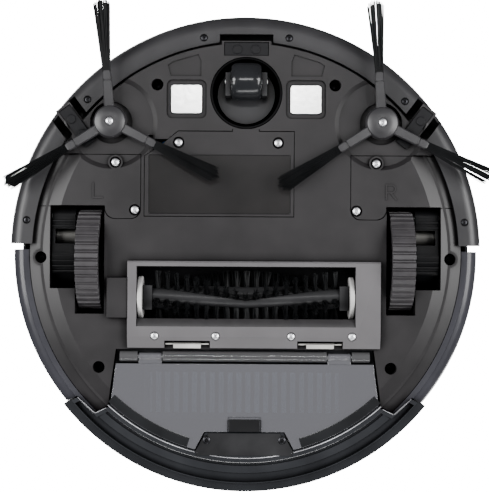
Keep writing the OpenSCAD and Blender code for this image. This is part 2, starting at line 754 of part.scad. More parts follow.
// Section of the stepped rim behind the door, and the sloped underside outside it
module bin_rim_section() polygon([
  [wall_r - 0.8, 17.2], [143.6, 16.2], [144.1, 17.8], [145.1, 17.8], [145.7, 16.6], [150.6, 17.4],
  [151.2, 19.2], [154, 19.6], [158, 21.4], [163, 25.6], [168, 31], [168, 34], [162.4, 28.6], [157, 23.8],
  [153, 21.8], [wall_r - 0.8, 21]
]);

// Round body of the dustbin, sloped in under its lower edge
module bin_round() translate([0, bin_shift, 0]) {
  post(0, 0, 0, 19.7, 154);
  translate([0, 0, 19.6]) cylinder(h = 9.5, r1 = 154, r2 = body_r + 4);
  post(0, 0, 29, 70, body_r + 4);
}

module dustbin_body() color("#55565b") difference() {
  union() {
    difference() {
      intersection() {
        union() {
          // Roof over the whole bin and the floor in front of its rim
          translate([0, 0, bin_top - bin_t]) linear_extrude(bin_t) bin_plan(0);
          intersection() {
            translate([0, 0, 16.6]) linear_extrude(bin_t) bin_plan(0);
            post(0, 0, 0, 40, wall_r - 0.4);
          }
          // Side and front walls
          difference() {
            translate([0, 0, 16.6]) linear_extrude(bin_top - 17) bin_plan(0);
            translate([0, 0, 5]) linear_extrude(70) difference() {
              bin_plan(-bin_t);
              difference() {
                circle(r = wall_r + 1.4);
                circle(r = wall_r - 0.8);
              }
            }
          }
          rotate_extrude() bin_rim_section();
        }
        bin_round();
        translate([0, 0, 5]) linear_extrude(70) bin_plan(0.01);
      }
      // Open floor that the door closes, leaving the latch plate at the rear
      translate([0, 0, 5]) linear_extrude(14.5) intersection() {
        circle(r = door_r + 0.7);
        difference() {
          polygon([[-90.2, 64], [90.2, 64], [95, 105.5], [95, 200], [-95, 200], [-95, 105.5]]);
          polygon([[-27, 122.8], [27, 122.8], [36.4, 142], [-36.4, 142]]);
        }
      }
    }
    // Barrels of the door's hinge, between its knuckles
    for (b = [[-86, -73.4], [-56.6, 56.6], [73.4, 86]]) bar_x(b[0], b[1], hinge_y, hinge_z, 3.4);
  }
  bar_x(-85.8, 85.8, hinge_y, hinge_z, 1.2);
  both_sides() {
    post(26, 127.9, 5, 17.6, 3.3);
    post(26, 127.9, 5, 30, 1.3);
  }
  // Mouth towards the brush
  block([-66, 60, 25], [66, 70, 43]);
  // Seat of the release button
  block([-14.4, 155, 40], [14.4, 170, 52]);
}

module filter_frame() color("#2f3f55") difference() {
  block([-72, 80, 50], [72, 118, bin_top - bin_t - 0.1]);
  block([-68, 84, 40], [68, 114, 70]);
  for (x = [-66, -32, 2, 36]) block([x + 1, 70, 53], [x + 29, 86, 59]);
}

module filter_pad() color("#8fa7c4") difference() {
  block([-67.6, 84.4, 50.4], [67.6, 113.6, bin_top - bin_t - 0.2]);
  for (i = [0:20]) block([-66 + i * 6.4, 80, 40], [-63.4 + i * 6.4, 120, 59]);
}

module bin_button() color("#232326") {
  block([-14, 159.6, 40.4], [14, 163.6, 51.6]);
  block([-10, 156.4, 43], [10, 159.7, 49]);
}

module bin_hinge_pin() color("#d5d7da") bar_x(-85.8, 85.8, hinge_y, hinge_z, 1.2);

module dustbin_door() color("#75757a") difference() {
  union() {
    translate([0, 0, 15.6]) linear_extrude(2.4) intersection() {
      circle(r = door_r);
      polygon([[-88.6, 75.4], [88.6, 75.4], [92.4, 105], [92.4, 200], [-92.4, 200], [-92.4, 105]]);
    }
    for (x = [-73, 57]) {
      block([x, hinge_y, 16], [x + 16, 76, 18]);
      bar_x(x, x + 16, hinge_y, hinge_z, 2.5);
    }
  }
  bar_x(-90, 90, hinge_y, hinge_z, 1.2 + running);
  // Notch for the latch plate
  translate([0, 0, 5]) linear_extrude(30) polygon([[-27.6, 122.2], [27.6, 122.2], [37, 140], [-37, 140]]);
  block([-11.5, 112, 5], [11.5, 124, 16.9]);
}

module bin_latch() color("#1a1a1c") {
  block([-10.4, 113.6, 14.2], [10.4, 121.8, 16.6]);
  block([-8, 121, 15], [8, 121.9, 16.6]);
}

chassis();
wheel_wells();
brush_chamber();
bin_bay();
top_cover();
side_panels();
vent_grilles();
wheel_covers();
battery_cover();
battery_pack();
main_board();
caster_cup();
charge_contacts();
cliff_sensors();
brush_motors();
brush_gearbox();
fan_housing();
fan_motor();
bumper_switches();
button_ring();
cover_screws();
chassis_screws();
arm_pivots();
bumper();
bumper_window();
wheel_gearbox_left();
wheel_motor_left();
tyre_left();
wheel_hub_left();
wheel_gearbox_right();
wheel_motor_right();
tyre_right();
wheel_hub_right();
caster_fork();
caster_axle();
caster_wheel();
side_brush_left();
side_bristles_left();
side_brush_right();
side_bristles_right();
brush_core();
brush_bristles();
brush_end_discs();
brush_gear();
idler_gear();
pinion();
impeller();
brush_guard();
guard_latch_left();
guard_latch_right();
dustbin_body();
filter_frame();
filter_pad();
bin_button();
bin_hinge_pin();
dustbin_door();
bin_latch();
clean_button();
power_switch();
suspension_springs();
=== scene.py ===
import bmesh
import bpy
from math import cos, pi, radians, sin
from mathutils import Matrix, Vector


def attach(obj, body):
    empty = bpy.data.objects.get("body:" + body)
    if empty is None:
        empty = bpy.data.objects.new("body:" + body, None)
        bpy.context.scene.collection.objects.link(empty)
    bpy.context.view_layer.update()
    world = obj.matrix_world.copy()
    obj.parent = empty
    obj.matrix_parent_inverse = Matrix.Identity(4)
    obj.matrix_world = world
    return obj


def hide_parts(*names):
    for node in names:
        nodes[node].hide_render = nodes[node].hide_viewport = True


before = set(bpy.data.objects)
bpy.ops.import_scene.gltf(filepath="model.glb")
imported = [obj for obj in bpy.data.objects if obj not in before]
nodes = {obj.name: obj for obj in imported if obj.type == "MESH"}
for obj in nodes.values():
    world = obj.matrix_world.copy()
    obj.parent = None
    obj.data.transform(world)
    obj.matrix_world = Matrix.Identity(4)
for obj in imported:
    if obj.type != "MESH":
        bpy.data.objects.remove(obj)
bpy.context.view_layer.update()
scene = bpy.context.scene

# ---- studio ----
# The robot stands on a pale sheet, lit by large softboxes. The camera looks straight up at the
# underside from below the sheet, so the sheet shows only its upper face.


def link(obj):
    scene.collection.objects.link(obj)
    return obj


camera = link(bpy.data.objects.new("camera", bpy.data.cameras.new("camera")))
camera.data.sensor_fit = "HORIZONTAL"
camera.data.sensor_width = 36
camera.data.lens = 91.1
camera.data.clip_start = 0.01
camera.location = (-0.0006, -0.0058, -0.835)
camera.rotation_euler = (pi, 0, radians(-0.35))
scene.camera = camera


def new_material(name):
    material = bpy.data.materials.new(name)
    material.use_nodes = True
    tree = material.node_tree
    return material, tree.nodes, tree.links, tree.nodes["Principled BSDF"]


def mesh_object(name, build, material=None, smooth=35):
    """A mesh made by build(bm), with its faces shaded smooth up to an angle."""
    bm = bmesh.new()
    build(bm)
    mesh = bpy.data.meshes.new(name)
    bm.to_mesh(mesh)
    bm.free()
    for face in mesh.polygons:
        face.use_smooth = True
    mesh.set_sharp_from_angle(angle=radians(smooth))
    if material:
        mesh.materials.append(material)
    return link(bpy.data.objects.new(name, mesh))


def build_sheet(bm):
    bmesh.ops.create_grid(bm, x_segments=2, y_segments=2, size=14)


sheet_material, tree_nodes, tree_links, shader = new_material("sheet_paper")
shader.inputs["Base Color"].default_value = (0.82, 0.82, 0.82, 1)
shader.inputs["Roughness"].default_value = 0.9
shader.inputs["Emission Color"].default_value = (1, 1, 1, 1)
shader.inputs["Emission Strength"].default_value = 0.4
sheet_side = tree_nodes.new("ShaderNodeNewGeometry")
see_through = tree_nodes.new("ShaderNodeBsdfTransparent")
sheet_mix = tree_nodes.new("ShaderNodeMixShader")
tree_links.new(sheet_side.outputs["Backfacing"], sheet_mix.inputs["Fac"])
tree_links.new(shader.outputs["BSDF"], sheet_mix.inputs[1])
tree_links.new(see_through.outputs["BSDF"], sheet_mix.inputs[2])
tree_links.new(sheet_mix.outputs["Shader"], tree_nodes["Material Output"].inputs["Surface"])
paper_sheet = mesh_object("paper_sheet", build_sheet, sheet_material)
paper_sheet.visible_shadow = False
paper_sheet.visible_diffuse = False
paper_sheet.visible_glossy = False
paper_sheet.visible_transmission = False

scene.world = bpy.data.worlds.new("studio_air")
scene.world.use_nodes = True
air = scene.world.node_tree
backdrop = air.nodes["Background"]
backdrop.inputs["Color"].default_value = (1, 1, 1, 1)
backdrop.inputs["Strength"].default_value = 18.0
room = air.nodes.new("ShaderNodeBackground")
room.inputs["Color"].default_value = (0.92, 0.93, 1, 1)
room.inputs["Strength"].default_value = 0.1
seen = air.nodes.new("ShaderNodeLightPath")
air_mix = air.nodes.new("ShaderNodeMixShader")
air.links.new(seen.outputs["Is Camera Ray"], air_mix.inputs["Fac"])
air.links.new(room.outputs["Background"], air_mix.inputs[1])
air.links.new(backdrop.outputs["Background"], air_mix.inputs[2])
air.links.new(air_mix.outputs["Shader"], air.nodes["World Output"].inputs["Surface"])


def softbox(name, place, size, power, target=(0, 0, 0.03)):
    lamp = bpy.data.lights.new(name, "AREA")
    lamp.shape = "RECTANGLE"
    lamp.size, lamp.size_y = size
    lamp.energy = power
    box = link(bpy.data.objects.new(name, lamp))
    box.location = place
    box.rotation_euler = (Vector(target) - Vector(place)).to_track_quat("-Z", "Y").to_euler()


softbox("softbox_left", (-0.95, -0.1, -0.85), (0.75, 0.75), 28)
softbox("softbox_right", (0.95, -0.1, -0.85), (0.75, 0.75), 28)
softbox("softbox_rear", (0.15, 1.1, -0.55), (0.9, 0.25), 5)
softbox("softbox_front", (0, -0.27, -1.0), (0.26, 0.1), 1.6)
softbox("softbox_top", (-0.6, -0.5, 1.4), (1.1, 1.1), 26)
softbox("softbox_top_far", (0.9, 0.8, 1.1), (0.7, 0.7), 12)

# ---- chassis ----
# One injection-moulded tub in charcoal plastic with a fine spark-eroded texture. It carries
# everything else: its deep wells take the long screws that hold the top cover on.


def moulded_plastic(name, colour, roughness=0.42, grain=0.06, grain_size=2600, mottle=0.25, coat=0.0,
                    shine=0.32, crevice=0.007):
    """Plastic from a tool with a fine texture: a small bump, uneven gloss and a faint mottle. Painted
    shade darkens its colour and dulls its shine in gaps and recesses up to the crevice distance."""
    material, parts, links, skin = new_material(name)
    place = parts.new("ShaderNodeTexCoord")
    cloud = parts.new("ShaderNodeTexNoise")
    cloud.inputs["Scale"].default_value = 38
    cloud.inputs["Detail"].default_value = 3
    links.new(place.outputs["Object"], cloud.inputs["Vector"])
    shades = parts.new("ShaderNodeValToRGB")
    shades.color_ramp.elements[0].position = 0.3
    shades.color_ramp.elements[1].position = 0.7
    shades.color_ramp.elements[0].color = [c * (1 - mottle) for c in colour[:3]] + [1]
    shades.color_ramp.elements[1].color = [min(1, c * (1 + mottle)) for c in colour[:3]] + [1]
    links.new(cloud.outputs["Fac"], shades.inputs["Fac"])
    skin.inputs["Specular IOR Level"].default_value = shine
    if crevice:
        # Painted shade: ambient occlusion darkens the colour and lowers the shine in gaps and recesses.
        painted_crevice_shade = parts.new("ShaderNodeAmbientOcclusion")
        painted_crevice_shade.samples = 8
        painted_crevice_shade.inputs["Distance"].default_value = crevice
        links.new(shades.outputs["Color"], painted_crevice_shade.inputs["Color"])
        links.new(painted_crevice_shade.outputs["Color"], skin.inputs["Base Color"])
        painted_shade_on_shine = parts.new("ShaderNodeMapRange")
        painted_shade_on_shine.inputs["From Min"].default_value = 0.45
        painted_shade_on_shine.inputs["From Max"].default_value = 0.95
        painted_shade_on_shine.inputs["To Max"].default_value = shine
        links.new(painted_crevice_shade.outputs["AO"], painted_shade_on_shine.inputs["Value"])
        links.new(painted_shade_on_shine.outputs["Result"], skin.inputs["Specular IOR Level"])
    else:
        links.new(shades.outputs["Color"], skin.inputs["Base Color"])
    gloss = parts.new("ShaderNodeMapRange")
    gloss.inputs["To Min"].default_value = roughness * 0.86
    gloss.inputs["To Max"].default_value = roughness * 1.14
    links.new(cloud.outputs["Fac"], gloss.inputs["Value"])
    links.new(gloss.outputs["Result"], skin.inputs["Roughness"])
    grit = parts.new("ShaderNodeTexNoise")
    grit.inputs["Scale"].default_value = grain_size
    grit.inputs["Detail"].default_value = 2
    links.new(place.outputs["Object"], grit.inputs["Vector"])
    bump = parts.new("ShaderNodeBump")
    bump.inputs["Strength"].default_value = grain
    bump.inputs["Distance"].default_value = 0.0002
    links.new(grit.outputs["Fac"], bump.inputs["Height"])
    links.new(bump.outputs["Normal"], skin.inputs["Normal"])
    skin.inputs["Coat Weight"].default_value = coat
    skin.inputs["Coat Roughness"].default_value = 0.12
    return material


def finish_node(node, body, material, edge=0.0004, angle=28, join=True):
    """A copy of a CAD node with its edges rounded, or only shaded up to the angle where edge is 0.
    Where join is set, its triangles are joined into flat faces first."""
    copy = bpy.data.objects.new(node + "_moulding", nodes[node].data.copy())
    link(copy)
    if "custom_normal" in copy.data.attributes:
        copy.data.attributes.remove(copy.data.attributes["custom_normal"])
    bm = bmesh.new()
    bm.from_mesh(copy.data)
    bmesh.ops.remove_doubles(bm, verts=bm.verts, dist=0.000002)
    if join:
        bmesh.ops.dissolve_limit(bm, angle_limit=radians(0.6), verts=bm.verts, edges=bm.edges)
    bm.to_mesh(copy.data)
    bm.free()
    if edge:
        rounding = copy.modifiers.new("rounding", "BEVEL")
        rounding.width = edge
        rounding.segments = 2
        rounding.limit_method = "ANGLE"
        rounding.angle_limit = radians(angle)
        rounding.miter_outer = "MITER_ARC"
        level = copy.modifiers.new("level_faces", "WEIGHTED_NORMAL")
        level.keep_sharp = True
        level.weight = 90
        for face in copy.data.polygons:
            face.use_smooth = True
        view_layer = bpy.context.evaluated_depsgraph_get()
        rounded = bpy.data.meshes.new_from_object(copy.evaluated_get(view_layer))
        copy.modifiers.clear()
        copy.data = rounded
    else:
        for face in copy.data.polygons:
            face.use_smooth = True
        copy.data.set_sharp_from_angle(angle=radians(angle))
    copy.data.materials.clear()
    copy.data.materials.append(material)
    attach(copy, body)
    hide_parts(node)
    return copy


charcoal = moulded_plastic("charcoal_textured", (0.0128, 0.0118, 0.0126), 0.42)
dark_moulded = moulded_plastic("dark_moulded", (0.009, 0.009, 0.0098), 0.4)
finish_node("chassis", "body", charcoal, 0, 15, join=False)
finish_node("bin_bay", "body", dark_moulded, 0, 15, join=False)
finish_node("brush_chamber", "body", dark_moulded)
finish_node("wheel_wells", "body", dark_moulded)

# ---- drive units inside the body ----
# Bought-in motors in drawn steel cans, nylon and brass gears, a shrink-wrapped battery and the
# main board, all in pockets of the tub. Only the foot of the moulded brush gearbox shows from
# below.


def assign(material, *names):
    for name in names:
        nodes[name].data.materials.clear()
        nodes[name].data.materials.append(material)


def drawn_metal(name, colour, roughness, stretch=(1, 1, 30)):
    """Metal with fine lines left by drawing or turning."""
    material, parts, links, skin = new_material(name)
    place = parts.new("ShaderNodeTexCoord")
    lay = parts.new("ShaderNodeMapping")
    lay.inputs["Scale"].default_value = stretch
    lines = parts.new("ShaderNodeTexNoise")
    lines.inputs["Scale"].default_value = 260
    lines.inputs["Detail"].default_value = 3
    links.new(place.outputs["Object"], lay.inputs["Vector"])
    links.new(lay.outputs["Vector"], lines.inputs["Vector"])
    gloss = parts.new("ShaderNodeMapRange")
    gloss.inputs["To Min"].default_value = roughness * 0.6
    gloss.inputs["To Max"].default_value = roughness * 1.5
    links.new(lines.outputs["Fac"], gloss.inputs["Value"])
    links.new(gloss.outputs["Result"], skin.inputs["Roughness"])
    bump = parts.new("ShaderNodeBump")
    bump.inputs["Strength"].default_value = 0.08
    bump.inputs["Distance"].default_value = 0.0001
    links.new(lines.outputs["Fac"], bump.inputs["Height"])
    links.new(bump.outputs["Normal"], skin.inputs["Normal"])
    skin.inputs["Base Color"].default_value = (*colour, 1)
    skin.inputs["Metallic"].default_value = 1
    return material


motor_can = drawn_metal("motor_can_steel", (0.5, 0.49, 0.46), 0.35)
motor_dark = drawn_metal("motor_can_blackened", (0.09, 0.088, 0.083), 0.35)
bright_zinc = drawn_metal("bright_zinc", (0.88, 0.88, 0.9), 0.4, (1, 1, 1))
gear_brass = drawn_metal("gear_brass", (0.62, 0.43, 0.16), 0.28, (1, 1, 1))
gear_nylon = moulded_plastic("gear_nylon", (0.72, 0.7, 0.62), 0.5, 0.03)
black_moulded = moulded_plastic("black_moulded", (0.006, 0.006, 0.0066), 0.38, shine=0.25)
cell_sleeve = moulded_plastic("cell_sleeve", (0.025, 0.13, 0.32), 0.22, 0.01, 400, 0.1)
board_mask = moulded_plastic("board_mask", (0.015, 0.1, 0.04), 0.3, 0.02, 1500)
assign(motor_can, "brush_motors", "fan_motor")
assign(motor_dark, "wheel_motor_left", "wheel_motor_right")
assign(bright_zinc, "arm_pivots", "suspension_springs", "bin_hinge_pin")
assign(gear_brass, "pinion")
assign(gear_nylon, "brush_gear", "idler_gear")
assign(black_moulded, "impeller", "fan_housing", "bumper_switches")
assign(cell_sleeve, "battery_pack")
assign(board_mask, "main_board")
finish_node("brush_gearbox", "body", charcoal, 0.0008)

# ---- outer panels ----
# Two flank panels and the fins behind their slots, moulded in the same charcoal plastic and
# snapped between the tub and the top cover.

panel_plastic = moulded_plastic("panel_satin", (0.03, 0.03, 0.036), 0.3, 0.03, 2600, 0.15, 0.1)
finish_node("side_panels", "body", panel_plastic, 0.0005)
finish_node("vent_grilles", "body", black_moulded, 0.0003)

# ---- service covers ----
# Flat plates over the wheel pockets and the battery, each let into the tub and held by two
# screws. A plain label is stuck in a shallow bed on the battery cover.

finish_node("wheel_covers", "body", charcoal, 0.0003, 12)
finish_node("battery_cover", "body", charcoal, 0.0003)
MM = 0.001


def close_rings(bm, rings, caps=True):
    """Faces between neighbouring rings of vertices, with a cap on the first and the last ring."""
    for near, far in zip(rings, rings[1:]):
        count = len(near)
        for k in range(count):
            bm.faces.new((near[k], near[(k + 1) % count], far[(k + 1) % count], far[k]))
    if caps:
        bm.faces.new(rings[0])
        bm.faces.new(rings[-1])
    bmesh.ops.recalc_face_normals(bm, faces=bm.faces)


def build_sheet_plate(bm, outline, bottom, top, corner):
    """A thin plate with an outline of (x, y) in millimetres and rounded corners."""
    close_rings(bm, [[bm.verts.new((x * MM, y * MM, z * MM)) for x, y in outline] for z in (bottom, top)])
    upright = [e for e in bm.edges if abs(e.verts[0].co.z - e.verts[1].co.z) > 0.1 * MM]
    bmesh.ops.bevel(bm, geom=upright, offset=corner * MM, segments=4, affect="EDGES")
    bmesh.ops.recalc_face_normals(bm, faces=bm.faces)


def build_label(bm):
    build_sheet_plate(bm, [(-66.5, -67.8), (30.5, -67.8), (30.5, -28.1), (-66.5, -28.1)], 15.35, 15.6, 1.0)


label_film = moulded_plastic("label_film", (0.0085, 0.0078, 0.0078), 0.34, 0.008, 300, 0.3, 0.0, 0.22)
label_sheet = mesh_object("battery_cover_label", build_label, label_film)
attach(label_sheet, "body")

# ---- screws ----
# Zinc-plated pan heads with a cross recess, and dark ones down the deep wells. Each head
# sits in a counterbore of the plate that it holds.


def repeater():
    """A tree that sets a copy of one piece on every point, turned and stretched by attributes."""
    tree = bpy.data.node_groups.new("repeat_on_points", "GeometryNodeTree")
    sockets = {}
    for label, kind in (
        ("Points", "NodeSocketGeometry"),
        ("Piece", "NodeSocketObject"),
        ("Finish", "NodeSocketMaterial"),
        ("Sway", "NodeSocketFloat"),
        ("Length spread", "NodeSocketFloat"),
        ("Seed", "NodeSocketInt"),
    ):
        sockets[label] = tree.interface.new_socket(label, in_out="INPUT", socket_type=kind).identifier
    tree.interface.new_socket("Pieces", in_out="OUTPUT", socket_type="NodeSocketGeometry")
    given = tree.nodes.new("NodeGroupInput")
    made = tree.nodes.new("NodeGroupOutput")
    piece = tree.nodes.new("GeometryNodeObjectInfo")
    turn = tree.nodes.new("GeometryNodeInputNamedAttribute")
    turn.data_type = "FLOAT_VECTOR"
    turn.inputs["Name"].default_value = "turn"
    stretch = tree.nodes.new("GeometryNodeInputNamedAttribute")
    stretch.data_type = "FLOAT_VECTOR"
    stretch.inputs["Name"].default_value = "stretch"
    low = tree.nodes.new("ShaderNodeMath")
    low.operation = "MULTIPLY"
    low.inputs[1].default_value = -1
    sway = tree.nodes.new("FunctionNodeRandomValue")
    sway.data_type = "FLOAT_VECTOR"
    tilt = tree.nodes.new("ShaderNodeVectorMath")
    spread = tree.nodes.new("ShaderNodeMath")
    spread.operation = "SUBTRACT"
    spread.inputs[0].default_value = 1
    length = tree.nodes.new("FunctionNodeRandomValue")
    length.data_type = "FLOAT"
    size = tree.nodes.new("ShaderNodeVectorMath")
    size.operation = "SCALE"
    place = tree.nodes.new("GeometryNodeInstanceOnPoints")
    solid = tree.nodes.new("GeometryNodeRealizeInstances")
    finish = tree.nodes.new("GeometryNodeSetMaterial")
    join = tree.links.new
    join(given.outputs["Points"], place.inputs["Points"])
    join(given.outputs["Piece"], piece.inputs["Object"])
    join(piece.outputs["Geometry"], place.inputs["Instance"])
    join(given.outputs["Sway"], low.inputs[0])
    join(low.outputs["Value"], sway.inputs[0])
    join(given.outputs["Sway"], sway.inputs[1])
    join(given.outputs["Seed"], sway.inputs["Seed"])
    join(turn.outputs["Attribute"], tilt.inputs[0])
    join(sway.outputs["Value"], tilt.inputs[1])
    join(tilt.outputs["Vector"], place.inputs["Rotation"])
    join(given.outputs["Length spread"], spread.inputs[1])
    join(spread.outputs["Value"], length.inputs[2])
    length.inputs[3].default_value = 1
    join(given.outputs["Seed"], length.inputs["Seed"])
    join(stretch.outputs["Attribute"], size.inputs[0])
    join(length.outputs[1], size.inputs["Scale"])
    join(size.outputs["Vector"], place.inputs["Scale"])
    join(place.outputs["Instances"], solid.inputs["Geometry"])
    join(solid.outputs["Geometry"], finish.inputs["Geometry"])
    join(given.outputs["Finish"], finish.inputs["Material"])
    join(finish.outputs["Geometry"], made.inputs["Pieces"])
    return tree, sockets


repeat_tree, repeat_sockets = repeater()


def repeat(name, template, places, material, body, sway=0.0, spread=0.0, seed=1):
    """places lists (point, turn, stretch). The template is removed."""
    points = bpy.data.meshes.new(name)
    points.from_pydata([p[0] for p in places], [], [])
    for label, column in (("turn", 1), ("stretch", 2)):
        values = points.attributes.new(label, "FLOAT_VECTOR", "POINT")
        for index, row in enumerate(places):
            values.data[index].vector = row[column]
    obj = link(bpy.data.objects.new(name, points))
    maker = obj.modifiers.new("repeat", "NODES")
    maker.node_group = repeat_tree
    settings = {"Piece": template, "Finish": material, "Sway": sway, "Length spread": spread, "Seed": seed}
    for label, value in settings.items():
        maker[repeat_sockets[label]] = value
    view_layer = bpy.context.evaluated_depsgraph_get()
    solid = bpy.data.meshes.new_from_object(obj.evaluated_get(view_layer))
    obj.modifiers.clear()
    obj.data = solid
    for face in solid.polygons:
        face.use_smooth = True
    solid.set_sharp_from_angle(angle=radians(40))
    bpy.data.objects.remove(template)
    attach(obj, body)
    return obj


SCREW_RINGS = [0, 0.16, 0.24, 0.34, 0.46, 0.58, 0.64, 0.8, 0.93, 1.0]


def screw_head_height(x, y):
    """Dome of a pan head of radius 1, less its cross recess. Positive is out of the plate."""
    r = (x * x + y * y) ** 0.5
    dome = 0.42 * (1 - r * r) ** 0.5 if r < 1 else 0
    in_cross = r < 0.4 and min(abs(x), abs(y)) < 0.13
    return dome - (0.5 if in_cross else 0)


def build_screw(bm):
    """A pan head of radius 1 with its rim, and the top of its shank."""
    turns = [2 * pi * (k + 0.5) / 32 for k in range(32)]
    rings = []
    for r in SCREW_RINGS:
        spots = [(r * cos(a), r * sin(a)) for a in turns]
        rings.append([bm.verts.new((x, y, -0.3 - screw_head_height(x, y))) for x, y in spots])
    for r, z in ((1.0, 0.3), (0.5, 0.3), (0.5, 1.6), (0.3, 1.9)):
        rings.append([bm.verts.new((r * cos(a), r * sin(a), z)) for a in turns])
    close_rings(bm, rings, caps=False)
    bm.faces.new(rings[-1])
    bmesh.ops.remove_doubles(bm, verts=bm.verts, dist=0.001)
    bmesh.ops.recalc_face_normals(bm, faces=bm.faces)


def screws(name, places, radius, material, body, length=1.0):
    rows = [((x, y, z), (0, 0, 0.7 + 1.3 * i), (radius, radius, radius * length))
            for i, (x, y, z) in enumerate(places)]
    return repeat(name, mesh_object(name + "_template", build_screw), rows, material, body)


def mirrored(places):
    return list(places) + [(-x, y, z) for x, y, z in places]


black_zinc = drawn_metal("black_zinc", (0.03, 0.03, 0.033), 0.4, (1, 1, 1))
plate_screws = screws("plate_screws", mirrored([(0.0897, -0.0629, 0.0163), (0.0762, -0.0302, 0.0163)])
                      + [(-0.0463, -0.0767, 0.0163), (0.0222, -0.0767, 0.0163)],
                      0.00275, bright_zinc, "body", 1.0)
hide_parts("cover_screws")
well_screws = screws("well_screws", mirrored([(0.1411, 0.0027, 0.0292), (0.1003, 0.0779, 0.0292),
                                              (0.0611, -0.1164, 0.0292)]), 0.003, black_zinc, "body",
                     2.4)
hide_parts("chassis_screws")
screws("bumper_flange_screws", mirrored([(0.0294, -0.1493, 0.0198), (0.1094, -0.1062, 0.0198),
                                         (0.151, -0.0229, 0.0198)]), 0.0023, black_zinc, "bumper")
screws("guard_screws", [(-0.0618, 0.0559, 0.0108), (-0.0201, 0.0559, 0.0108), (0.0316, 0.0559, 0.0108),
                        (0.0732, 0.0559, 0.0108)], 0.0026, bright_zinc, "brush_guard")
screws("bin_screws", mirrored([(0.026, 0.1279, 0.0176)]), 0.003, black_zinc, "dustbin")

# ---- charging contacts and floor sensors ----
# Two nickel-plated square pads in sunk frames meet the dock's pins. Three sensor windows look
# down at the floor edge, each with a pair of moulded lenses.

nickel_plate, tree_nodes, tree_links, shader = new_material("nickel_plate")
shader.inputs["Base Color"].default_value = (0.93, 0.93, 0.92, 1)
shader.inputs["Metallic"].default_value = 1.0
wipe_place = tree_nodes.new("ShaderNodeTexCoord")
wipe_marks = tree_nodes.new("ShaderNodeTexNoise")
wipe_marks.inputs["Scale"].default_value = 320
wipe_marks.inputs["Detail"].default_value = 4
wipe_gloss = tree_nodes.new("ShaderNodeMapRange")
wipe_gloss.inputs["To Min"].default_value = 0.16
wipe_gloss.inputs["To Max"].default_value = 0.32
tree_links.new(wipe_place.outputs["Object"], wipe_marks.inputs["Vector"])
tree_links.new(wipe_marks.outputs["Fac"], wipe_gloss.inputs["Value"])
tree_links.new(wipe_gloss.outputs["Result"], shader.inputs["Roughness"])
window_black = moulded_plastic("window_black", (0.004, 0.004, 0.005), 0.42, 0.004, 600, 0.1, shine=0.2)
finish_node("charge_contacts", "body", nickel_plate, 0.0003)
finish_node("cliff_sensors", "body", window_black, 0.0004)

# ---- caster ----
# A dark glossy wheel on a steel axle, in a grey fork that turns in a black cup. The fork's stem
# is pressed into the cup from below.

caster_grey = moulded_plastic("caster_grey", (0.012, 0.0125, 0.014), 0.2, 0.01, 500, 0.2, 0.2)
fork_grey = moulded_plastic("fork_grey", (0.016, 0.016, 0.0175), 0.36)
# The cup's painted crevice shade reaches further, up to 20 mm.
cup_black = moulded_plastic("cup_black", (0.0022, 0.0022, 0.0024), 0.6, shine=0.06, crevice=0.02)
finish_node("caster_cup", "body", cup_black, 0.0005)
finish_node("caster_fork", "caster_fork", fork_grey, 0.0007)
finish_node("caster_axle", "caster_fork", bright_zinc, 0.0004)
finish_node("caster_wheel", "caster_wheel", caster_grey, 0.0006)

# ---- bumper ----
# A front half-ring shell in charcoal plastic, sprung forwards, with a glossy infrared window set
# in its face. It hangs on the chassis by screws through its lower flange.

bumper_skin = moulded_plastic("bumper_textured", (0.021, 0.0205, 0.022), 0.4)
finish_node("bumper", "bumper", bumper_skin, 0.0005)
finish_node("bumper_window", "bumper", window_black, 0.0003)

# ---- drive wheels ----
# A black hub with a moulded-on grey rubber tyre whose cross ribs grip carpet. The wheel turns on
# a steel axle in a black gearbox that swings down on its pivot, with the motor beside it.


def rubber(name, colour, roughness=0.72, dust=0.5):
    """Rubber with a bloom of pale dust in its hollows."""
    material, parts, links, skin = new_material(name)
    place = parts.new("ShaderNodeTexCoord")
    bloom = parts.new("ShaderNodeTexNoise")
    bloom.inputs["Scale"].default_value = 180
    bloom.inputs["Detail"].default_value = 5
    links.new(place.outputs["Object"], bloom.inputs["Vector"])
    shades = parts.new("ShaderNodeValToRGB")
    shades.color_ramp.elements[0].position = 0.35
    shades.color_ramp.elements[1].position = 0.75
    shades.color_ramp.elements[0].color = [*colour, 1]
    shades.color_ramp.elements[1].color = [c * (1 + dust) + 0.01 * dust for c in colour] + [1]
    links.new(bloom.outputs["Fac"], shades.inputs["Fac"])
    links.new(shades.outputs["Color"], skin.inputs["Base Color"])
    bump = parts.new("ShaderNodeBump")
    bump.inputs["Strength"].default_value = 0.15
    bump.inputs["Distance"].default_value = 0.0002
    links.new(bloom.outputs["Fac"], bump.inputs["Height"])
    links.new(bump.outputs["Normal"], skin.inputs["Normal"])
    skin.inputs["Roughness"].default_value = roughness
    return material


tyre_rubber = rubber("tyre_rubber", (0.025, 0.023, 0.025), 0.45, 0.3)
hub_black = moulded_plastic("hub_black", (0.012, 0.012, 0.014), 0.34)
gearbox_black = moulded_plastic("gearbox_black", (0.003, 0.003, 0.0034), 0.3, shine=0.2)
for side in ("left", "right"):
    finish_node("tyre_" + side, "wheel_" + side, tyre_rubber, 0.0005)
    finish_node("wheel_hub_" + side, "wheel_" + side, hub_black, 0.0006)
    finish_node("wheel_gearbox_" + side, "wheel_arm_" + side, gearbox_black, 0.0008)


def build_rib(bm):
    """One cast rib across the gearbox, a metre-long bar along X before it is stretched."""
    outline = [(-0.0007, 0.0), (-0.0004, -0.0009), (0.0004, -0.0009), (0.0007, 0.0)]
    close_rings(bm, [[bm.verts.new((x, y, z)) for y, z in outline] for x in (-0.5, 0.5)])


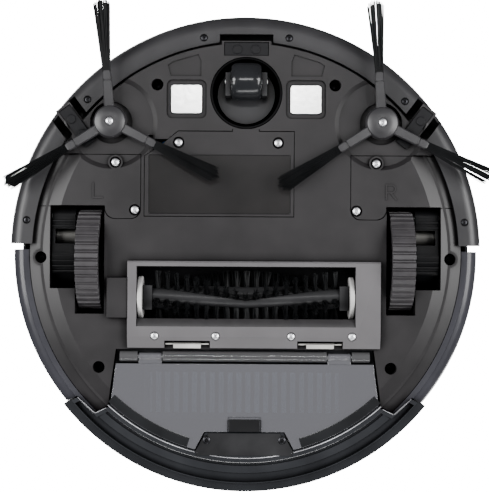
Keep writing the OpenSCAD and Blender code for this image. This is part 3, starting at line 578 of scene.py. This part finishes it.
RIB_PLACES = [(-22.5, 21.2), (-19, 20.8), (1.5, 19.3), (5, 19.2), (8.5, 19.6), (12, 20.8), (15, 24.4)]
rib_black = moulded_plastic("rib_black", (0.012, 0.012, 0.0125), 0.22)
for side, sign in (("left", -1), ("right", 1)):
    rib_rows = [((sign * 0.1256, y * MM, z * MM), (0, 0, 0), (0.0158, 1, 1)) for y, z in RIB_PLACES]
    repeat("gearbox_ribs_" + side, mesh_object("rib_template", build_rib), rib_rows, rib_black,
           "wheel_arm_" + side)

# ---- side brushes ----
# A black hub with three rubber arms, each of which grips a bundle of nylon bristles. The hub is
# held to its shaft by one screw.

HUB_PROFILE = [(0, 5.9), (2.9, 5.9), (3.1, 5.5), (4.0, 5.3), (8.0, 6.0), (10.2, 7.0), (11.2, 8.6),
               (11.4, 10.0), (11.4, 13.0), (11.0, 13.2), (2.5, 13.2), (2.5, 36), (0, 36)]
ARM_TURNS = (-4, 117, 238)


def revolve(bm, profile, centre, sides=64):
    """Turns a profile of (radius, height) in millimetres about an upright axis."""
    rings = []
    for r, z in profile:
        rings.append([bm.verts.new((centre[0] + r * cos(2 * pi * k / sides) * MM,
                                    centre[1] + r * sin(2 * pi * k / sides) * MM, z * MM))
                      for k in range(sides)])
    close_rings(bm, rings, caps=False)
    bmesh.ops.remove_doubles(bm, verts=bm.verts, dist=0.001 * MM)
    bmesh.ops.recalc_face_normals(bm, faces=bm.faces)


def arm_sections():
    """Stations along an arm in millimetres: distance from the axis, half width, bottom, top."""
    yield from ((8.0, 3.3, 8.2, 11.8), (9.5, 3.4, 7.9, 11.8), (26.0, 3.1, 6.8, 10.4), (27.6, 3.0, 6.7, 10.3),
                (27.8, 2.5, 7.0, 10.0), (28.4, 2.5, 7.0, 10.0), (28.6, 3.0, 6.6, 10.2), (33.5, 2.8, 6.3, 9.5),
                (34.6, 2.4, 6.5, 9.1))


def build_bristle(bm):
    """One bristle along +Z, one metre long before it is stretched, with a slight droop."""
    loops = []
    for t in (0, 0.3, 0.6, 0.85, 1.0):
        radius = 0.00032 * (1 - 0.25 * t)
        droop = 0.0012 * t * t
        loops.append([bm.verts.new((radius * cos(2.1 * k), radius * sin(2.1 * k) + droop, t))
                      for k in range(3)])
    close_rings(bm, loops)


def brush_side(sign, side):
    """The hub, bristles and screw of one side brush."""
    centre = (sign * 0.0929, -0.0903)

    def build_hub(bm):
        revolve(bm, HUB_PROFILE, centre)
        for angle in ARM_TURNS:
            turn = Matrix.Translation((*centre, 0)) @ Matrix.Rotation(radians(angle), 4, "Z")
            loops = []
            for reach, half, bottom, top in arm_sections():
                corner = 0.7
                outline = [(-half + corner, bottom), (half - corner, bottom), (half, bottom + corner),
                           (half, top), (-half, top), (-half, bottom + corner)]
                loops.append([bm.verts.new(turn @ Vector((x * MM, -reach * MM, z * MM)))
                              for x, z in outline])
            close_rings(bm, loops)

    hub = mesh_object("side_brush_hub_" + side, build_hub, arm_rubber, 25)
    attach(hub, "side_brush_" + side)
    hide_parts("side_brush_" + side)
    rows = []
    for angle in ARM_TURNS:
        turn = Matrix.Rotation(radians(angle), 4, "Z")
        for row in range(3):
            for column in range(26):
                across = (column / 25 - 0.5) * 5.0
                height = 6.9 + row * 0.9 + 0.25 * (column % 2)
                root = turn @ Vector((across * MM, -33.5 * MM, height * MM))
                fan = across / 2.5 * 0.062
                dip = radians(95.3 + row * 1.2 + 1.8 * ((column * 7 + row * 3) % 5) / 5)
                reach = 51.0 - 3.5 * abs(across) / 2.5 + 2.0 * ((column * 5 + row * 7) % 7) / 7 - 1
                rows.append(((root.x + centre[0], root.y + centre[1], root.z),
                             (dip, 0, radians(angle) + fan), (1, 1, reach * MM)))
    tufts = repeat("side_bristle_bundles_" + side, mesh_object("bristle_template", build_bristle), rows,
                   nylon_black, "side_brush_" + side, 0.018, 0.06, 3 + (sign > 0))
    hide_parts("side_bristles_" + side)
    screws("side_brush_screw_" + side, [(*centre, 0.0058)], 0.0027, bright_zinc, "side_brush_" + side)


arm_rubber = rubber("arm_rubber", (0.017, 0.0165, 0.018), 0.42, 0.2)
nylon_black = moulded_plastic("nylon_black", (0.004, 0.0043, 0.0047), 0.5, 0.0, 900, 0.4, shine=0.1, crevice=0)
brush_side(-1, "left")
brush_side(1, "right")

# ---- main brush ----
# A black core with tufts of nylon set in rows that meet in a V at the middle, so that it sweeps
# dirt inwards. Pale discs close its ends and a square black collar drives it.

CORE_Y, CORE_Z, CORE_R = 0.030, 0.024, 0.0075
CORE_MIDDLE, CORE_HALF = 0.0006, 0.066
TUFT_ROWS, TUFTS_A_SIDE, V_TURN = 4, 9, radians(78)
HAIRS, TUFT_R, TUFT_STEP = 34, 0.0021, 0.0068


def around_core(x, angle, radius):
    return Vector((x, CORE_Y + radius * sin(angle), CORE_Z - radius * cos(angle)))


def build_core(bm):
    """The core is grooved beside each row of tufts, so its radius changes round it and along it."""
    sides, stations = 96, 60
    rings = []
    for i in range(stations + 1):
        x = -0.0706 + 0.1424 * i / stations
        v = V_TURN * abs(x - CORE_MIDDLE) / CORE_HALF
        ring = []
        for k in range(sides):
            angle = 2 * pi * k / sides
            across = ((angle + v) * TUFT_ROWS / (2 * pi)) % 1.0
            swell = 0.0012 * (1 - (2 * across - 1) ** 2) - (0.0007 if abs(across - 0.12) < 0.03 else 0)
            ring.append(bm.verts.new(around_core(x, angle, CORE_R - 0.0007 + swell)))
        rings.append(ring)
    close_rings(bm, rings)
    for span in ((-0.0926, -0.0706), (0.0718, 0.0794)):  # round journals
        close_rings(bm, [[bm.verts.new(around_core(x, 2 * pi * k / 32, 0.0026)) for k in range(32)]
                         for x in span])
    for span in ((-0.0700, -0.0640), (0.0650, 0.0712)):  # square collars
        close_rings(bm, [[bm.verts.new(around_core(x, pi / 4 + pi / 2 * k, 0.0118)) for k in range(4)]
                         for x in span])


core_black = moulded_plastic("core_black", (0.02, 0.02, 0.021), 0.34)
disc_pale = moulded_plastic("disc_pale", (0.55, 0.54, 0.53), 0.3, 0.02)
core_piece = mesh_object("main_brush_core", build_core, core_black, 30)
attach(core_piece, "main_brush")
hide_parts("brush_core")
finish_node("brush_end_discs", "main_brush", disc_pale, 0.0006)
tuft_rows = []
for row in range(TUFT_ROWS):
    for step in range(-TUFTS_A_SIDE, TUFTS_A_SIDE + 1):
        along = step * TUFT_STEP
        angle = 2 * pi * row / TUFT_ROWS - V_TURN * abs(along) / CORE_HALF
        for hair in range(HAIRS):
            ring = TUFT_R * (hair / HAIRS) ** 0.5
            swirl = hair * 2.399
            root = around_core(CORE_MIDDLE + along + ring * cos(swirl), angle + ring * sin(swirl) / CORE_R,
                               CORE_R - 0.0004)
            lean = 0.35 * ring * cos(swirl) / TUFT_R
            tuft_rows.append((root, (angle + pi, lean, 0), (1.25, 1.25, 0.0118)))
tuft_piece = repeat("main_brush_tufts", mesh_object("bristle_template", build_bristle), tuft_rows, nylon_black,
                    "main_brush", 0.14, 0.05, 11)
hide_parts("brush_bristles")

# ---- brush guard ----
# A silver-grey moulded frame that swings on its round front edge, with a rubber lip along the rear
# of its opening. Two pale latch tabs at the rear release it.

guard_silver = moulded_plastic("guard_silver", (0.1, 0.096, 0.1), 0.36, 0.04, 2200, 0.06)
latch_pale = moulded_plastic("latch_pale", (0.42, 0.41, 0.39), 0.35, 0.02)
finish_node("brush_guard", "brush_guard", guard_silver, 0.0009)
finish_node("guard_latch_left", "guard_latch_left", latch_pale, 0.0004)
finish_node("guard_latch_right", "guard_latch_right", latch_pale, 0.0004)


def prism_x(bm, x0, x1, outline):
    """A bar along X with an outline of (y, z) in millimetres."""
    close_rings(bm, [[bm.verts.new((x * MM, y * MM, z * MM)) for y, z in outline] for x in (x0, x1)])


lip_rubber = rubber("lip_rubber", (0.02, 0.019, 0.02), 0.42, 0.2)
lip = mesh_object("guard_rubber_lip", lambda bm: prism_x(
    bm, -74.0, 75.3, [(49.5, 10.2), (49.5, 14.4), (47.6, 14.4), (44.6, 13.8), (44.2, 13.2), (46.8, 10.8)]),
    lip_rubber)
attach(lip, "brush_guard")

# ---- dustbin ----
# A smoky moulded bin that slides out at the rear. Its see-through door hinges at the front on a
# steel pin and clips behind a latch plate; a pleated filter sits under its roof.


def smoky_clear(name, colour, alpha, roughness=0.18):
    """Clear tinted plastic: mostly see-through, with a polished skin."""
    material, parts, links, skin = new_material(name)
    place = parts.new("ShaderNodeTexCoord")
    haze = parts.new("ShaderNodeTexNoise")
    haze.inputs["Scale"].default_value = 60
    haze.inputs["Detail"].default_value = 4
    links.new(place.outputs["Object"], haze.inputs["Vector"])
    gloss = parts.new("ShaderNodeMapRange")
    gloss.inputs["To Min"].default_value = roughness * 0.7
    gloss.inputs["To Max"].default_value = roughness * 1.3
    links.new(haze.outputs["Fac"], gloss.inputs["Value"])
    links.new(gloss.outputs["Result"], skin.inputs["Roughness"])
    skin.inputs["Base Color"].default_value = (*colour, 1)
    skin.inputs["Alpha"].default_value = alpha
    skin.inputs["Coat Weight"].default_value = 0.4
    skin.inputs["Coat Roughness"].default_value = 0.08
    return material


bin_smoke = moulded_plastic("bin_smoke", (0.02, 0.021, 0.0235), 0.16, 0.01, 900, 0.2, 0.4)
door_smoke = smoky_clear("door_smoke", (0.11, 0.11, 0.12), 0.66)
filter_blue = moulded_plastic("filter_blue", (0.02, 0.045, 0.09), 0.4, 0.02)
filter_paper = moulded_plastic("filter_paper", (0.36, 0.5, 0.72), 0.85, 0.2, 1400, 0.2)
finish_node("dustbin_body", "dustbin", bin_smoke, 0.0005)
finish_node("filter_frame", "dustbin", filter_blue, 0.0004)
finish_node("filter_pad", "dustbin", filter_paper, 0.0003)
finish_node("bin_button", "bin_button", black_moulded, 0.0006)
finish_node("dustbin_door", "dustbin_door", door_smoke, 0.0004)
finish_node("bin_latch", "bin_latch", black_moulded, 0.0005)


def build_tube(bm, x0, x1, y, z, radius, wall):
    """A tube along X, in millimetres."""
    rings = []
    for x, r in ((x0, radius - wall), (x0, radius), (x1, radius), (x1, radius - wall)):
        rings.append([bm.verts.new((x * MM, (y + r * cos(2 * pi * k / 40)) * MM,
                                    (z + r * sin(2 * pi * k / 40)) * MM)) for k in range(40)])
    close_rings(bm, rings + rings[:1], caps=False)


def build_sleeves(bm):
    for x0, x1 in ((-85.8, -73.6), (-56.4, 56.4), (73.6, 85.8)):
        build_tube(bm, x0, x1, 70.5, 17.4, 3.6, 0.15)


sleeve_clear = smoky_clear("sleeve_clear", (0.09, 0.09, 0.093), 0.5, 0.14)
sleeves = mesh_object("hinge_sleeves", build_sleeves, sleeve_clear)
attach(sleeves, "dustbin")


def build_latch_plate(bm):
    build_sheet_plate(bm, [(-26.6, 123.2), (26.6, 123.2), (35.2, 138.4), (-35.2, 138.4)], 16.25, 16.62, 2.0)


plate_gloss = moulded_plastic("plate_gloss", (0.02, 0.02, 0.021), 0.1, 0.006, 120, 0.35, 0.6)
latch_plate = mesh_object("latch_plate", build_latch_plate, plate_gloss)
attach(latch_plate, "dustbin")


def polar(radius, degrees, z):
    """A point in millimetres on a circle round the robot's middle, turned from the rear."""
    return Vector((radius * sin(radians(degrees)), radius * cos(radians(degrees)), z)) * MM


def build_door_edge(bm):
    """The darker chamfer along the door's round rear edge, on both sides of the latch plate."""
    for start, end in ((-42.6, -16.6), (16.6, 42.6)):
        rows = []
        for k in range(31):
            turn = start + (end - start) * k / 30
            rows.append([bm.verts.new(polar(r, turn, z)) for r, z in
                         ((131.6, 15.58), (132.4, 15.36), (138.2, 15.36), (138.2, 15.7), (131.6, 15.7))])
        close_rings(bm, rows)


door_edge_dark = moulded_plastic("door_edge_dark", (0.011, 0.0115, 0.0125), 0.2, 0.01, 900, 0.2, 0.2, crevice=0)
door_edge = mesh_object("door_edge", build_door_edge, door_edge_dark)
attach(door_edge, "dustbin_door")


def build_wire(bm, points, radius):
    """A round bead through points, with its ends closed."""
    rings = []
    for index, point in enumerate(points):
        near, far = points[max(index - 1, 0)], points[min(index + 1, len(points) - 1)]
        along = (far - near).normalized()
        side = along.cross(Vector((0, 0, 1))).normalized()
        up = side.cross(along)
        rings.append([bm.verts.new(point + radius * (side * cos(pi / 4 * k) + up * sin(pi / 4 * k)))
                      for k in range(8)])
    close_rings(bm, rings)


def build_painted_highlight_beads(bm):
    """Pale beads as painted highlights: one along the rim behind the door, one round each end of the rim."""
    build_wire(bm, [polar(140.4, -42 + 84 * k / 60, 16.7) for k in range(61)], 0.0003)
    for sign in (-1, 1):
        corners = ((95, 106.4, 17.2), (103.2, 110.2, 18.9), (115.1, 99.6, 19.2), (119.2, 101.8, 21.1),
                   (123, 103.9, 24.6))
        build_wire(bm, [Vector((sign * x, y, z)) * MM for x, y, z in corners], 0.0004)


# Painted highlight: thin pale beads stand in for the glints along the rim's edges.
painted_edge_highlight = moulded_plastic("painted_edge_highlight", (0.42, 0.42, 0.44), 0.16, 0.01, 900, 0.5, 0.4, crevice=0)
painted_highlight_beads = mesh_object("rim_bright_edges", build_painted_highlight_beads, painted_edge_highlight, 60)
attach(painted_highlight_beads, "dustbin")

# ---- top ----
# A domed-edge lid in satin black with a ring of translucent white round its one button, and a
# power switch in the right flank.

lid_satin = moulded_plastic("lid_satin", (0.018, 0.018, 0.02), 0.24, 0.02, 2600, 0.12, 0.3)
light_white = moulded_plastic("light_white", (0.66, 0.72, 0.78), 0.25, 0.0, 500, 0.05, 0.3)
finish_node("top_cover", "body", lid_satin, 0.0004)
finish_node("button_ring", "body", light_white, 0.0002)
finish_node("clean_button", "clean_button", lid_satin, 0.0005)
finish_node("power_switch", "power_switch", black_moulded, 0.0006)
